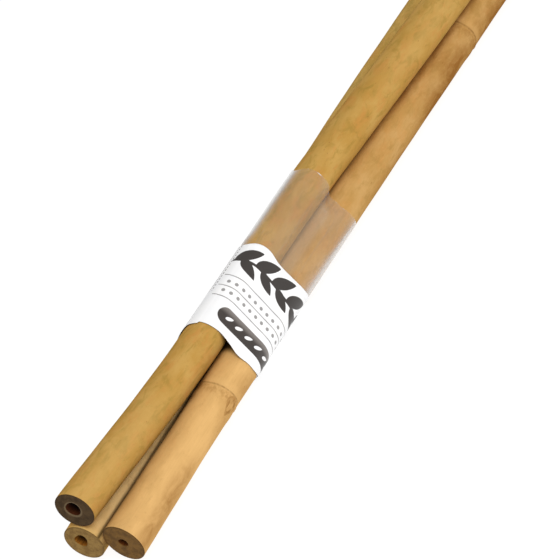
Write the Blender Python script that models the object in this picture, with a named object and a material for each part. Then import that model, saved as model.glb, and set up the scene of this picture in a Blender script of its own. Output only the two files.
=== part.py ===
"""Three bamboo canes, held near one end by a clear film sleeve that carries a white label.

The bundle lies on a flat surface, in metres, +Z up. The canes run along X: their cut ends near the
sleeve point to -X. The front and the back cane lie side by side, and the top cane crosses their groove
at a slight slant. The origin is the middle of the bundle's box, on the surface.

The pieces are worked out in the bundle's own frame, in which x is the distance from the front cane's
near end and y is the distance from the plane between the two lower canes.
"""

from types import SimpleNamespace

import bpy
import numpy as np

GAP = 0.0003  # left between pieces that touch
FILM_GAP = 0.0004  # between the canes and the film, which is drawn round them in short flat runs
RIDGE = 0.00035  # height of a node's ring above the cane's wall
SIDES = 20  # flat sides of a cane
STEP, SLEEVE_STEP = 0.030, 0.015  # longest stretch of wall between two rings of points, and by the sleeve
END_MARGIN = 0.004  # no ring of points lies closer to a cut end
NODE_RINGS = (-0.0024, -0.0012, 0.0, 0.0012, 0.0026, 0.0045, 0.0065, 0.0095)  # from a node's ring, upwards

RING_WIDTH = 0.0013  # of a node's ring, along the cane
COLLAR_HEIGHT = 0.00018  # of the soft swelling above the ring
COLLAR_PLACE, COLLAR_WIDTH = 0.0045, 0.0028
BUD_HEIGHT = 0.00030  # of the scar where a twig was trimmed off
BUD_PLACE, BUD_LENGTH, BUD_TURN = 0.0055, 0.0030, 0.33  # along the cane, and in radians round it
DIAPHRAGM = 0.003  # the end hollows stop this far from the node that closes them
CUT_REACH = 0.015  # a slanting cut bends the rings of points over this length

SLEEVE_START, LABEL_END, SLEEVE_END = 0.0975, 0.1440, 0.1865
SLEEVE_SLANT, SLANT_TOWARDS = 0.0045, np.radians(55)  # of the film's far edge
FILM, LABEL = 0.0003, 0.0003  # wall of each
LIFT = FILM_GAP + FILM + GAP + LABEL  # the sleeve's wall lies between the canes and the surface
ARC_POINTS, RUN_POINTS = 10, 2  # on the sleeve, round each cane and on each straight run
FILM_RINGS, LABEL_RINGS = 8, 5  # rings of points along each skin

SIDE_GAP = RIDGE + GAP  # between the walls of two canes, which touch at their rings
SADDLE = 0.0004  # how softly the top cane passes from lying on one lower cane to lying on the other
BOW = SimpleNamespace(  # how the two lower canes bend sideways together
    at=(0.0, 0.075, 0.150, 0.225, 0.300, 0.450, 0.700, 0.950, 1.200),
    y=(0.0, 0.0013, 0.0018, 0.0013, 0.0, -0.0030, -0.0050, -0.0036, -0.0008),
)
REST_FROM = 0.200  # past here the lower canes come down, until the front one's last node rests

# up is 1 where the cane's tip, as it grew, points to its far end, and -1 where it points to its near end.
FRONT = SimpleNamespace(
    near=0.0, far=1.199, up=-1,
    nodes=(0.081, 0.297, 0.512, 0.735, 0.958, 1.165), bud=np.radians(180),
    radius_at=(0.0, 0.030, 0.062, 0.083, 0.190, 0.295, 0.512, 0.735, 0.958, 1.199),
    radius=(0.0092, 0.0089, 0.0086, 0.0087, 0.0087, 0.0083, 0.0083, 0.0081, 0.0078, 0.0075),
    pith=0.0022, pith_shift=(0.0002, 0.0002),
    near_cut=(0.062, -0.121), far_cut=(0.05, 0.06),
)
BACK = SimpleNamespace(
    near=-0.0011, far=1.195, up=-1,
    nodes=(0.030, 0.334, 0.620, 0.895, 1.150), bud=np.radians(15),
    radius_at=(0.0, 0.030, 0.140, 0.190, 0.262, 0.334, 0.498, 0.751, 0.984, 1.195),
    radius=(0.00865, 0.0087, 0.0092, 0.0094, 0.0097, 0.0098, 0.0099, 0.0098, 0.0097, 0.0096),
    pith=0.0028, pith_shift=(0.0010, 0.0010),
    near_cut=(-0.024, -0.111), far_cut=(-0.04, 0.03),
    splay_at=(0.0, 0.150, 0.175, 0.220, 0.300, 0.450, 0.750, 1.200),
    splay=(0.0, 0.0, 0.0001, 0.0007, 0.0012, 0.0016, 0.0008, 0.0),
)
TOP = SimpleNamespace(
    near=-0.0008, far=1.204, up=1,
    nodes=(0.338, 0.642, 0.928, 1.176), bud=np.radians(60),
    radius_at=(0.0, 0.045, 0.190, 0.338, 0.642, 0.928, 1.204),
    radius=(0.0085, 0.0083, 0.00825, 0.0081, 0.0080, 0.0078, 0.0076),
    pith=0.0032, pith_shift=(0.0005, 0.0005),
    near_cut=(-0.027, -0.059), far_cut=(0.06, -0.03),
    path_at=(0.0, 0.060, 0.120, 0.180, 0.240, 0.330, 0.450, 0.620, 0.820, 1.020, 1.204),
    path=(0.0057, 0.0022, 0.0001, -0.0012, -0.0053, -0.0096, -0.0108, -0.0097, -0.0075, -0.0050, -0.0020),
)

FRONT_COLOUR, BACK_COLOUR, TOP_COLOUR = (0.68, 0.42, 0.17), (0.50, 0.34, 0.15), (0.48, 0.31, 0.09)
FILM_COLOUR, LABEL_COLOUR = (0.90, 0.91, 0.93), (0.86, 0.86, 0.85)
CANE_ROUGHNESS, FILM_ROUGHNESS, LABEL_ROUGHNESS = 0.45, 0.15, 0.55
FILM_ALPHA = 0.35
SHARP = np.radians(35)  # edges that turn by more than this stay sharp


def smooth(x, at, values):
    """A smooth curve through the values at the given places, in cubic pieces."""
    at, values = np.asarray(at), np.asarray(values)
    slope = np.gradient(values, at)
    i = np.clip(np.searchsorted(at, x) - 1, 0, len(at) - 2)
    length = at[i + 1] - at[i]
    t = np.clip((x - at[i]) / length, 0, 1)
    ends = (1 + 2 * t) * (1 - t) ** 2 * values[i] + t**2 * (3 - 2 * t) * values[i + 1]
    return ends + t * (1 - t) * length * ((1 - t) * slope[i] - t * slope[i + 1])


def radius(cane, x):
    return smooth(x, cane.radius_at, cane.radius)


def underside(x):
    """Height of the lower canes' walls: level through the sleeve, then down until the front one's node rests."""
    down = np.clip((x - REST_FROM) / (FRONT.nodes[-1] - REST_FROM), 0, None)
    return LIFT - (LIFT - RIDGE) * down


def front_line(x):
    r = radius(FRONT, x)
    return smooth(x, BOW.at, BOW.y) - r - SIDE_GAP / 2, underside(x) + r


def back_line(x):
    r = radius(BACK, x)
    apart = smooth(x, BACK.splay_at, BACK.splay)
    return smooth(x, BOW.at, BOW.y) + apart + r + SIDE_GAP / 2, underside(x) + r


def top_line(x):
    """The top cane follows its own path and lies on whichever lower cane is higher under it."""
    y, r = smooth(x, TOP.path_at, TOP.path), radius(TOP, x)
    heights = []
    for cane, line in ((FRONT, front_line), (BACK, back_line)):
        side, z = line(x)
        reach = r + radius(cane, x) + SIDE_GAP
        heights.append(z + np.sqrt(np.maximum(reach**2 - (y - side) ** 2, 0)))
    return y, SADDLE * np.logaddexp(heights[0] / SADDLE, heights[1] / SADDLE)


def relief(cane, x, turn):
    """How far the wall stands out at each node: a sharp ring, and above it a soft collar and a bud scar.

    The scars sit on one side of the cane at one node and on the other side at the next. Above means
    towards the cane's tip as it grew."""
    out = np.zeros(np.broadcast(x, turn).shape)
    for i, node in enumerate(cane.nodes):
        above = cane.up * (x - node)
        out += RIDGE * np.exp(-((above / RING_WIDTH) ** 2))
        out += COLLAR_HEIGHT * np.exp(-(((above - COLLAR_PLACE) / COLLAR_WIDTH) ** 2))
        away = np.angle(np.exp(1j * (turn - cane.bud - np.pi * i)))
        scar = ((above - BUD_PLACE) / BUD_LENGTH) ** 2 + (away / BUD_TURN) ** 2
        out += BUD_HEIGHT * np.exp(-scar)
    return out


def wall_stations(cane):
    """Places of the rings of points: close at each node, and far apart between nodes."""
    marks = [cane.near, REST_FROM, cane.far]
    for node in cane.nodes:
        places = [node + cane.up * d for d in NODE_RINGS]
        marks += [x for x in places if cane.near + END_MARGIN < x < cane.far - END_MARGIN]
    marks = np.sort(marks)
    stations = [marks[:1]]
    for a, b in zip(marks[:-1], marks[1:]):
        step = SLEEVE_STEP if b <= REST_FROM else STEP
        stations.append(np.linspace(a, b, int(np.ceil((b - a) / step)) + 1)[1:])
    return np.concatenate(stations)


def slanted(x, end, cut, y, z):
    """Moves rings of points near a cut end along the cane, so that the end lies in a slanting plane."""
    share = np.clip(1 - np.abs(x - end) / CUT_REACH, 0, 1)
    return x + share * (cut[0] * y + cut[1] * z)


def cane_points(cane, line):
    """Rings of points: from the bottom of the near hollow out to its rim, along the wall, and back in."""
    turn = np.linspace(0, 2 * np.pi, SIDES, endpoint=False)[None, :] - np.pi / 2
    x = wall_stations(cane)[:, None]
    wall = radius(cane, x) + relief(cane, x, turn)
    near_hollow = np.array([[cane.nodes[0] - DIAPHRAGM], [cane.near]])
    far_hollow = np.array([[cane.far], [cane.nodes[-1] + DIAPHRAGM]])
    rings = []
    for places, r, shift in (
        (near_hollow, cane.pith, cane.pith_shift), (x, wall, (0, 0)), (far_hollow, cane.pith, (0, 0)),
    ):
        y, z = r * np.cos(turn) + shift[0], r * np.sin(turn) + shift[1]
        along = slanted(places + 0 * turn, cane.near, cane.near_cut, y, z)
        along = slanted(along, cane.far, cane.far_cut, y, z)
        centre_y, centre_z = line(places)
        rings.append(np.stack([along, centre_y + y + 0 * turn, centre_z + z + 0 * turn], -1))
    return np.concatenate(rings)


def closed_tube(points):
    """Vertices and faces of a skin over rings of points, with a fan of triangles closing each end."""
    count, sides = points.shape[:2]
    vertices = [tuple(p) for p in points.reshape(-1, 3)]
    faces = []
    for i in range(count - 1):
        for j in range(sides):
            k = (j + 1) % sides
            faces.append((i * sides + j, i * sides + k, (i + 1) * sides + k, (i + 1) * sides + j))
    for first, ring in ((0, points[0]), ((count - 1) * sides, points[-1])):
        vertices.append(tuple(ring.mean(0)))
        hub = len(vertices) - 1
        for j in range(sides):
            k = (j + 1) % sides
            faces.append((hub, first + k, first + j) if first == 0 else (hub, first + j, first + k))
    return vertices, faces


def belt(x, out):
    """Outline of a belt drawn tight round the three canes at x and then moved out: arcs and straight runs.

    The points inside each arc lie a little further out, so that the flats between them clear the cane."""
    lines = [(FRONT, front_line), (BACK, back_line), (TOP, top_line)]
    centres = [np.array(line(x)) for cane, line in lines]
    radii = [float(radius(cane, x)) for cane, line in lines]
    normals = []
    for i in range(3):
        to_next = centres[(i + 1) % 3] - centres[i]
        lean = np.arccos((radii[i] - radii[(i + 1) % 3]) / np.hypot(*to_next))
        normals.append(np.arctan2(to_next[1], to_next[0]) - lean)
    outline = []
    for i in range(3):
        start, end = normals[i - 1], normals[i]
        end += 2 * np.pi * np.ceil((start - end) / (2 * np.pi))
        turn = np.linspace(start, end, ARC_POINTS)
        reach = np.full(ARC_POINTS, (radii[i] + out) / np.cos((turn[1] - turn[0]) / 2))
        reach[[0, -1]] = radii[i] + out
        arc = centres[i][:, None] + reach * np.stack([np.cos(turn), np.sin(turn)])
        if outline:
            outline.append(straight_run(outline[-1][:, -1], arc[:, 0]))
        outline.append(arc)
    outline.append(straight_run(outline[-1][:, -1], outline[0][:, 0]))
    return np.concatenate(outline, 1).T


def straight_run(a, b):
    """The points between a and b that split the run between them evenly."""
    t = np.linspace(0, 1, RUN_POINTS + 2)[1:-1]
    return a[:, None] + (b - a)[:, None] * t


def sleeve_points(start, end, slant, inner, wall, stations):
    """Rings of points of a thin sleeve: its inner face towards the far end, and its outer face back."""
    rings = []
    for out, order in ((inner, 1), (inner + wall, -1)):
        skin = []
        for share in np.linspace(0, 1, stations):
            x = start + (end - start) * share
            outline = belt(x, out)
            middle = outline.mean(0)
            turn = np.arctan2(outline[:, 1] - middle[1], outline[:, 0] - middle[0])
            along = x + share * slant * np.cos(turn - SLANT_TOWARDS)
            skin.append(np.column_stack([along, outline]))
        rings += skin[::order]
    return np.array(rings)


def closed_sleeve(points):
    """Vertices and faces of a skin over rings of points whose last ring joins the first."""
    count, sides = points.shape[:2]
    vertices = [tuple(p) for p in points.reshape(-1, 3)]
    faces = []
    for i in range(count):
        for j in range(sides):
            k, up = (j + 1) % sides, (i + 1) % count
            faces.append((i * sides + j, up * sides + j, up * sides + k, i * sides + k))
    return vertices, faces


def finish(name, colour, roughness, alpha=1.0):
    material = bpy.data.materials.new(name)
    material.use_nodes = True
    shader = material.node_tree.nodes["Principled BSDF"]
    shader.inputs["Base Color"].default_value = (*colour, 1)
    shader.inputs["Roughness"].default_value = roughness
    shader.inputs["Metallic"].default_value = 0
    shader.inputs["Alpha"].default_value = alpha
    return material


def add_piece(name, shape, material, parent):
    mesh = bpy.data.meshes.new(name)
    mesh.from_pydata(shape[0], [], shape[1])
    mesh.materials.append(material)
    mesh.shade_smooth()
    mesh.set_sharp_from_angle(angle=SHARP)
    piece = bpy.data.objects.new(name, mesh)
    piece.parent = parent
    bpy.context.collection.objects.link(piece)
    return piece


def build():
    for old in list(bpy.data.objects):
        bpy.data.objects.remove(old)
    bundle = bpy.data.objects.new("bundle", None)
    bpy.context.collection.objects.link(bundle)
    pieces = []
    for name, cane, line, colour in (
        ("cane_front", FRONT, front_line, FRONT_COLOUR),
        ("cane_back", BACK, back_line, BACK_COLOUR),
        ("cane_top", TOP, top_line, TOP_COLOUR),
    ):
        shape = closed_tube(cane_points(cane, line))
        bamboo = finish(name, colour, CANE_ROUGHNESS)
        pieces.append(add_piece(name, shape, bamboo, bundle))
    film = sleeve_points(SLEEVE_START, SLEEVE_END, SLEEVE_SLANT, FILM_GAP, FILM, FILM_RINGS)
    clear = finish("clear_film", FILM_COLOUR, FILM_ROUGHNESS, FILM_ALPHA)
    pieces.append(add_piece("film_sleeve", closed_sleeve(film), clear, bundle))
    label = sleeve_points(SLEEVE_START, LABEL_END, 0, FILM_GAP + FILM + GAP, LABEL, LABEL_RINGS)
    paper = finish("label_paper", LABEL_COLOUR, LABEL_ROUGHNESS)
    pieces.append(add_piece("label_band", closed_sleeve(label), paper, bundle))
    corners = np.array([corner for piece in pieces for corner in piece.bound_box])
    low, high = corners.min(0), corners.max(0)
    bundle.location = (-(low[0] + high[0]) / 2, -(low[1] + high[1]) / 2, -low[2])


build()
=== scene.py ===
"""The looks of a bundle of three bamboo canes in a clear film sleeve with a white label.

All shapes are worked out in the bundle's own frame, in metres, as in the part's source: x is the distance
along the canes from the near end of the front cane's solid, y the distance from the plane between the two
lower canes, and z the height. Turn is the angle round a cane or round the sleeve, from +Y over +Z. Patterns
are worked out in millimetres.
"""

from types import SimpleNamespace

import bpy
import numpy as np
from mathutils import Matrix, Vector


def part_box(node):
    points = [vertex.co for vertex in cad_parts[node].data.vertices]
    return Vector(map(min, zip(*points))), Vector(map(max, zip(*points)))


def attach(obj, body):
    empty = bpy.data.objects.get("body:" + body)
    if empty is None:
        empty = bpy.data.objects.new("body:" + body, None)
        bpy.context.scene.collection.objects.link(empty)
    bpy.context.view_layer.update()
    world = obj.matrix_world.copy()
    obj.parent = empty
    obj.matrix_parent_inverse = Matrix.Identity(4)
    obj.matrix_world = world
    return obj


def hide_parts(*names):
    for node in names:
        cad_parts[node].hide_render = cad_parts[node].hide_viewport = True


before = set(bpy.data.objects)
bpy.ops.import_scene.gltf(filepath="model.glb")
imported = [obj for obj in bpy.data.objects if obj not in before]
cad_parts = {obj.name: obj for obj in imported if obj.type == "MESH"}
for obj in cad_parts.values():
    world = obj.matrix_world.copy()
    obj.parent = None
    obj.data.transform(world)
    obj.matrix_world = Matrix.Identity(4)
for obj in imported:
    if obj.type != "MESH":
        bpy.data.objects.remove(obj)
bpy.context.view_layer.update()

MM = 0.001
NEAR_SIDE = np.radians(134.4)  # the turn that faces the camera, seen along the canes
LEFT_SIDE = np.radians(45.7)  # the turn at a cane's left outline

RIDGE = 0.00035  # how far a node's ring stands out of the wall
GAP = 0.0003  # left between pieces that touch
SIDE_GAP = RIDGE + GAP  # between two canes' walls
LIFT = 0.0013  # of the lower canes' walls, through the sleeve
REST_FROM = 0.200  # where the lower canes begin to sink to the ground
SADDLE = 0.0004  # softens the top cane's passing from one lower cane to the other
CUT_REACH = 0.015  # how far from a sawn end its lean fades out
DIAPHRAGM = 0.003  # wood between the bottom of an end hollow and its node

# How far the plane between the two lower canes bends sideways.
BOW = SimpleNamespace(
    at=(0.0, 0.075, 0.150, 0.225, 0.300, 0.450, 0.700, 0.950, 1.200),
    y=(0.0, 0.0013, 0.0018, 0.0013, 0.0, -0.0030, -0.0050, -0.0036, -0.0008),
)

# The canes. Up is 1 where a cane's tip, as it grew, points to its far end, and -1 where it points to the
# near end. Pressed is the middle and the half width of the turns at which the sleeve lies on the cane. The
# waves of the end hollows are (count, size, place). A cut leans by two slopes, across and upwards. Splay is
# how far the back cane leaves the front one.
FRONT = SimpleNamespace(
    near=-0.0008, far=1.199, up=-1, seed=1.7, pressed=np.radians((214, 56)),
    nodes=(0.081, 0.297, 0.512, 0.735, 0.958, 1.165), bud=np.radians(180),
    radius_at=(0.0, 0.030, 0.062, 0.083, 0.190, 0.295, 0.512, 0.735, 0.958, 1.199),
    radius=(0.0092, 0.0089, 0.0086, 0.0087, 0.0087, 0.0083, 0.0083, 0.0081, 0.0078, 0.0075),
    pith=0.0021, pith_shift=(0.0002, 0.0002), pith_waves=((2, 0.10, -1.2), (3, 0.04, 1.0)),
    near_cut=(0.062, -0.064), far_cut=(0.05, 0.06),
)
BACK = SimpleNamespace(
    near=-0.0019, far=1.195, up=-1, seed=4.1, pressed=np.radians((-25, 65)),
    nodes=(0.030, 0.334, 0.620, 0.895, 1.150), bud=np.radians(15),
    radius_at=(0.0, 0.030, 0.140, 0.190, 0.262, 0.334, 0.498, 0.751, 0.984, 1.195),
    radius=(0.00865, 0.0087, 0.0092, 0.0094, 0.0097, 0.0098, 0.0099, 0.0098, 0.0097, 0.0096),
    pith=0.0030, pith_shift=(0.0010, 0.0010), pith_waves=((2, 0.10, 0.2), (3, 0.07, 0.3)),
    near_cut=(-0.024, -0.054), far_cut=(-0.04, 0.03),
    splay_at=(0.0, 0.150, 0.175, 0.220, 0.300, 0.450, 0.750, 1.200),
    splay=(0.0, 0.0, 0.0001, 0.0007, 0.0012, 0.0016, 0.0008, 0.0),
)
TOP = SimpleNamespace(
    near=-0.0016, far=1.204, up=1, seed=7.9, pressed=np.radians((98, 60)),
    nodes=(0.338, 0.642, 0.928, 1.176), bud=np.radians(60),
    radius_at=(0.0, 0.045, 0.190, 0.338, 0.642, 0.928, 1.204),
    radius=(0.0085, 0.0083, 0.00825, 0.0081, 0.0080, 0.0078, 0.0076),
    pith=0.0034, pith_shift=(0.0005, 0.0005), pith_waves=((2, 0.07, 0.0), (3, 0.03, 0.9)),
    near_cut=(-0.027, -0.002), far_cut=(0.06, -0.03),
    path_at=(0.0, 0.060, 0.120, 0.180, 0.240, 0.330, 0.450, 0.620, 0.820, 1.020, 1.204),
    path=(0.0057, 0.0022, 0.0001, -0.0012, -0.0053, -0.0096, -0.0108, -0.0097, -0.0075, -0.0050, -0.0020),
)

SIDES = 88  # points round a cane
FINE_STEP, LONG_STEP = 0.0004, 0.0030  # between rings of points: at a node, and away from it
NODE_REACH = 0.0095  # how far from a node the rings are still close together
SCAR_HEIGHT, SCAR_WIDTH = 0.00026, 0.00050  # the sheath's sharp scar line at a node
GROOVE_DEPTH, GROOVE_PLACE, GROOVE_WIDTH = 0.00012, 0.0011, 0.00055
COLLAR_HEIGHT, COLLAR_PLACE, COLLAR_WIDTH = 0.00020, 0.0045, 0.0028
BUD_HEIGHT, BUD_PLACE, BUD_LENGTH, BUD_TURN = 0.00030, 0.0055, 0.0030, 0.33
RIM = 0.00022  # rounding of the cut edges
BY_CUT = 0.00035  # rings of points this close to them keep the rounding sharp
PITH_RIM = 0.00035  # rounding of the hollows' edges

SLEEVE_START, LABEL_END, SLEEVE_END = 0.0975, 0.1440, 0.1865
FILM_TUCK = 0.001  # the film starts this far under the label
FILM_OUT, LABEL_OUT = 0.00012, 0.00026  # how far the film and the label stand off the canes
FILM, LABEL = 0.00006, 0.00012  # how thick they are
FILM_POINTS, LABEL_POINTS = (40, 34), (60, 40)  # points round each cane, and on each straight run
DEEPEST, DIP_BLEND, DIP_CLEAR = 0.0044, 0.0008, 0.00025  # how the film's far edge dips between the canes

# The sleeve's edges wave: how far up the canes from its even place, in mm, an edge lies at places round the
# sleeve, in mm from the line that faces the camera. The first and the last value meet underneath.
FILM_EDGE = SimpleNamespace(
    at=(-55.0, -42.0, -30.0, -20.0, -13.2, -8.0, -6.0, -2.4, 3.5, 9.0, 14.1, 16.7, 22.4, 29.7, 38.0, 46.0,
        57.0),
    up=(-2.0, 0.0, 2.5, 2.5, 1.3, -0.9, -0.1, 1.1, 1.3, 1.2, 0.2, -1.2, -0.6, 0.9, 0.4, -1.0, -2.0),
)
LABEL_NEAR_EDGE = SimpleNamespace(
    at=(-54.0, -33.0, -24.0, -17.0, -13.5, -11.7, -9.8, -7.5, -5.4, -2.7, 0.6, 4.0, 9.8, 15.0, 20.0, 25.0,
        29.0, 32.0, 36.0, 44.0, 56.5),
    up=(0.0, 0.0, -2.0, -5.0, -4.0, -2.0, -1.1, -0.7, -0.2, 0.0, 0.2, 0.5, -0.5, -1.9, -1.5, -1.0, 0.7, 2.4,
        2.4, 1.0, 0.0),
)
LAP_START, LAP_END = -24.0, -5.6  # where the label's ends overlap, in mm round the sleeve
LABEL_STEP = 0.8  # by which its near edge steps up at the end of the overlap, in mm
LABEL_FAR_EDGE = SimpleNamespace(
    at=(-54.0, -20.0, -6.6, -3.8, 3.0, 8.5, 15.0, 24.0, 29.0, 40.0, 56.5),
    up=(0.0, -1.2, -1.8, -0.8, -0.4, -1.7, -1.8, -1.2, 0.3, 0.0, 0.0),
)

# The label's print, in mm: places along the canes, and round the sleeve from the line that faces the camera.
# The sprig's feet and the band's leaves are (first, end, step).
SPRIG = SimpleNamespace(line=130.6, sway=1.2, half_stem=0.6, start=-9.0, end=39.0, feet=(-8.0, 36.0, 9.2))
BAND = SimpleNamespace(low=100.6, high=108.0, start=-1.2, end=46.0, leaf_line=103.4, leaves=(2.6, 40.0, 5.4))
DOTS = SimpleNamespace(lines=(119.0, 114.2), step=3.4, radius=0.80, start=-6.0, end=36.0)
SIDE_DOTS = SimpleNamespace(low=113.0, high=139.0, step=1.7, radius=0.46, start=-17.0, end=-8.2)
RULES = SimpleNamespace(lines=(122.2, 116.6, 111.2), start=-8.0, end=46.0)
NO_INK = 5.0  # a distance at which nothing is printed
PRINT_SHIFT, PRINT_SLANT = 2.1, 0.045  # the whole print is moved up the canes, and slants round them

# The camera: its place and turn are those of the photograph, worked out from the canes' outlines.
AIM = np.array([0.150, 0.0, 0.0131])
AIM_DISTANCE = 2.8
AZIMUTH, ELEVATION, ROLL = 0.774, 0.619, -0.452  # in radians
PIXELS = 560
PIXELS_PER_METRE = 2516.0  # at the aim
AIM_PIXEL = (276.6, 271.2)
SENSOR_WIDTH = 36.0

# The pale floor and the soft light.
FLOOR_SIZE, FLOOR_DROP, FLOOR_GLOW = 12.0, 0.0006, 0.92
SKY_LIGHT = 0.44
LAMP_PLACE, LAMP_AIM = (-1.0, -1.15, 1.75), (-0.45, 0.0, 0.0)
LAMP_SIZE, LAMP_POWER = 1.8, 34.0


def smooth(x, at, values):
    """A smooth curve through the values at the given places, in cubic pieces."""
    at, values = np.asarray(at), np.asarray(values)
    slope = np.gradient(values, at)
    i = np.clip(np.searchsorted(at, x) - 1, 0, len(at) - 2)
    length = at[i + 1] - at[i]
    t = np.clip((x - at[i]) / length, 0, 1)
    ends = (1 + 2 * t) * (1 - t) ** 2 * values[i] + t**2 * (3 - 2 * t) * values[i + 1]
    return ends + t * (1 - t) * length * ((1 - t) * slope[i] - t * slope[i + 1])


def radius(cane, x):
    """A cane's radius: the smooth curve through its values along the cane."""
    return smooth(x, cane.radius_at, cane.radius)


def underside(x):
    """Height of the lower canes' walls: level through the sleeve, then sinking evenly.

    They sink as far as the front cane's last node, whose ring rests on the ground."""
    down = np.clip((x - REST_FROM) / (FRONT.nodes[-1] - REST_FROM), 0, None)
    return LIFT - (LIFT - RIDGE) * down


def front_line(x):
    """Middle of the front cane: a radius and half a gap before the bent plane, a radius over the underside."""
    r = radius(FRONT, x)
    return smooth(x, BOW.at, BOW.y) - r - SIDE_GAP / 2, underside(x) + r


def back_line(x):
    """Middle of the back cane: as the front one's, but behind the bent plane, and farther by its splay."""
    r = radius(BACK, x)
    apart = smooth(x, BACK.splay_at, BACK.splay)
    return smooth(x, BOW.at, BOW.y) + apart + r + SIDE_GAP / 2, underside(x) + r


def top_line(x):
    """The top cane follows its own path and lies on whichever lower cane is higher under it.

    Its height over each is the third side of a right triangle: the middles' distance, and the step sideways.
    The greater of the two is taken, softened where they are nearly equal."""
    y, r = smooth(x, TOP.path_at, TOP.path), radius(TOP, x)
    heights = []
    for cane, line in ((FRONT, front_line), (BACK, back_line)):
        side, z = line(x)
        reach = r + radius(cane, x) + SIDE_GAP
        heights.append(z + np.sqrt(np.maximum(reach**2 - (y - side) ** 2, 0)))
    return y, SADDLE * np.logaddexp(heights[0] / SADDLE, heights[1] / SADDLE)


def hump(x, width):
    """A bell: e to the power of minus the square of x over the width."""
    return np.exp(-((x / width) ** 2))


def ramp(x, start, end):
    """Rises smoothly from 0 at start to 1 at end: three squares less two cubes of the share passed."""
    t = np.clip((x - start) / (end - start), 0, 1)
    return t * t * (3 - 2 * t)


def turn_from(turn, middle):
    """Angle from middle to turn, between minus and plus a half turn."""
    return np.angle(np.exp(1j * (turn - middle)))


def node_places(cane, x, turn):
    """Distance above the nearest node's line, which wavers and dips at its bud, and the turn from that bud.

    Above means towards the cane's tip as it grew. The buds sit on one side at one node and on the other
    side at the next."""
    nodes = np.array(cane.nodes)
    nearest = np.abs(x[..., None] - nodes).argmin(-1)
    away = turn_from(turn, cane.bud + np.pi * nearest)
    waver = 0.00018 * np.sin(3 * turn + cane.seed + nearest) + 0.00012 * np.sin(5 * turn + 2 * nearest)
    dip = 0.0009 * hump(away, 0.7) - 0.0004
    return cane.up * (x - nodes[nearest]) - waver + dip, away


def relief(cane, x, turn):
    """How far the wall stands out: at each node a scar line, a groove above it, a collar and a bud scar.

    The wall between nodes is very slightly uneven, by a sum of long waves along it and round it."""
    above, away = node_places(cane, x, turn)
    out = SCAR_HEIGHT * hump(above, SCAR_WIDTH)
    out -= GROOVE_DEPTH * hump(above - GROOVE_PLACE, GROOVE_WIDTH)
    out += COLLAR_HEIGHT * hump(above - COLLAR_PLACE, COLLAR_WIDTH)
    out += BUD_HEIGHT * hump(above - BUD_PLACE, BUD_LENGTH) * hump(away, BUD_TURN)
    rim = np.hypot((above - BUD_PLACE) / (BUD_LENGTH * 0.9), away / (BUD_TURN * 0.75))
    out += 0.00006 * hump(rim - 1, 0.22)
    s = cane.seed
    uneven = 0.00004 * np.sin(x / 0.0131 + s) * np.sin(turn + s)
    uneven = uneven + 0.00003 * np.sin(x / 0.0047 + 2 * turn + 3 * s)
    return out + uneven + 0.00004 * np.sin(2 * turn + x / 0.06 + s)


def wall_stations(cane):
    """Places of the rings of points: close together at each node, and smoothly farther apart between them."""
    x = np.linspace(cane.near + RIM, cane.far - RIM, 12000)
    apart = np.abs(x[:, None] - np.array(cane.nodes)).min(1)
    spacing = FINE_STEP + (LONG_STEP - FINE_STEP) * (1 - hump(apart, NODE_REACH))
    passed = np.concatenate([[0], np.cumsum(1 / spacing[:-1]) * (x[1] - x[0])])
    count = int(np.ceil(passed[-1]))
    places = np.interp(np.linspace(0, passed[-1], count + 1), passed, x)[1:-1]
    by_cuts = [x[0] + BY_CUT, x[0] + 3 * BY_CUT, x[-1] - 3 * BY_CUT, x[-1] - BY_CUT]
    return np.sort(np.concatenate([places, by_cuts]))


def hollow_reach(cane, turn):
    """Radius of the end hollow round its outline: a circle with a few waves of different counts on it."""
    waves = sum(size * np.cos(count * (turn - NEAR_SIDE) + place) for count, size, place in cane.pith_waves)
    return cane.pith * (1 + waves)


def cut_rings(cane, end, inwards, turn):
    """Rings over a sawn end, from the hollow's rim to the wall: a plane whose two edges are rounded off.

    Each edge is a quarter circle, and the saw's lines are a fine sine wave over the plane."""
    share = (1 - np.cos(np.pi * np.linspace(0, 1, 22)[:, None])) / 2
    inner = hollow_reach(cane, turn)
    outer = radius(cane, end + inwards * RIM) + relief(cane, end + 0 * turn, turn)
    reach = inner + share * (outer - inner)
    rim = np.clip((reach - outer + RIM) / RIM, 0, 1)
    lip = np.clip((inner + PITH_RIM - reach) / PITH_RIM, 0, 1)
    down = RIM * (1 - np.sqrt(1 - rim**2)) + PITH_RIM * (1 - np.sqrt(1 - lip**2))
    saw = 0.00003 * np.sin(reach * np.cos(turn - 0.6) / 0.00021) * (1 - rim) * (1 - lip)
    return end + inwards * (down + saw), reach, 1 - share


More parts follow.
